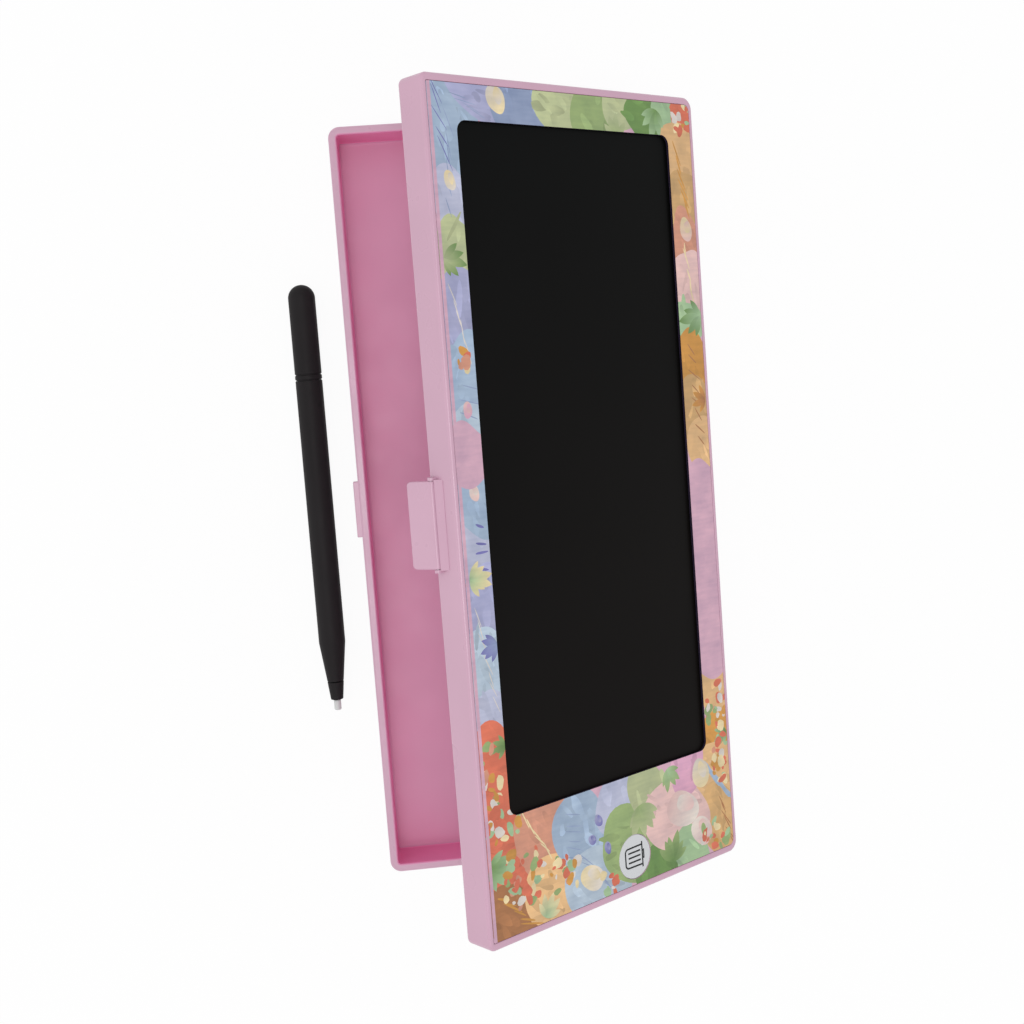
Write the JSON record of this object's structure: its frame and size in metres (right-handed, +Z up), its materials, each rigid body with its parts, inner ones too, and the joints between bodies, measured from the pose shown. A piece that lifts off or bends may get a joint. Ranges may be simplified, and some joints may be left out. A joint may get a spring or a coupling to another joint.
{
  "type": "lcd writing tablet pencil case",
  "caption": "Pencil case with an LCD writing tablet in its hinged lid: shallow tray, printed front panel, erase button, swinging latch, battery bay and a separate stylus.",
  "frame": {"origin": "centre of the tray's flat underside, on the surface that the case lies on", "axes": "+X along the case towards the erase button, +Y from the latch side to the hinge side, +Z up"},
  "size_m": [0.235, 0.1276, 0.0899],
  "materials": {
    "case_plastic": "satin moulded pink",
    "printed_sheet": "clear gloss over a painterly print",
    "tape": "foam tape",
    "lcd_film": "fine matt writing surface",
    "backing_plastic": "plain sheet",
    "circuit_laminate": "solder mask",
    "black_plastic": "moulded",
    "flex_circuit": "amber film",
    "button_plastic": "satin white",
    "steel": "plated",
    "stylus_plastic": "satin black",
    "nib_plastic": "pale grey moulded"
  },
  "bodies": {
    "tray": {"tray_shell": "case_plastic", "hinge_pin_1": "steel", "hinge_pin_2": "steel"},
    "lid": {"lid_frame": "case_plastic", "printed_panel": "printed_sheet", "panel_tape": "tape", "writing_film": "lcd_film", "backing_board": "backing_plastic", "inner_cover": "case_plastic", "circuit_board": "circuit_laminate", "driver_chip": "black_plastic", "film_tail": "flex_circuit", "switch_body": "black_plastic", "cell_contact_plus": "steel", "cell_contact_minus": "steel", "cover_screw_1": "steel", "cover_screw_2": "steel", "cover_screw_3": "steel", "cover_screw_4": "steel", "cover_screw_5": "steel", "cover_screw_6": "steel", "board_screw_1": "steel", "board_screw_2": "steel", "latch_pin": "steel"},
    "latch": {"latch": "case_plastic"},
    "erase_button": {"erase_button": "button_plastic", "switch_plunger": "black_plastic"},
    "battery_door": {"battery_door": "case_plastic", "battery_door_screw": "steel"},
    "coin_cell": {"coin_cell": "steel"},
    "stylus": {"stylus_tail_cap": "stylus_plastic", "stylus_ring": "stylus_plastic", "stylus_barrel": "stylus_plastic", "stylus_nose": "stylus_plastic", "stylus_nib": "nib_plastic"}
  },
  "joints": [
    {"name": "lid_hinge", "type": "hinge", "parent": "tray", "child": "lid", "pos_m": [0, 0.0545, 0.01815], "axis": [-1, 0, 0], "range_deg": [-36.6, 143.4]},
    {"name": "latch_hinge", "type": "hinge", "parent": "lid", "child": "latch", "pos_m": [0, -0.0304, 0.08463], "axis": [-1, 0, 0], "range_deg": [-20, 80]},
    {"name": "erase_button_press", "type": "slide", "parent": "lid", "child": "erase_button", "axis": [0, -0.5962, -0.8028], "range_m": [0, 0.0004], "stiffness_N_per_m": 2500},
    {"name": "battery_door_slide", "type": "slide", "parent": "lid", "child": "battery_door", "axis": [0, -0.5962, -0.8028], "range_m": [0, 0.012]},
    {"name": "coin_cell_slide", "type": "slide", "parent": "lid", "child": "coin_cell", "axis": [0, -0.5962, -0.8028], "range_m": [0, 0.012]},
    {"name": "stylus_lift", "type": "slide", "parent": "tray", "child": "stylus", "axis": [0, 0, 1], "range_m": [0, 0.06]}
  ],
  "couplings": [
    {"joint": "coin_cell_slide", "follows": "battery_door_slide", "ratio": 1}
  ]
}
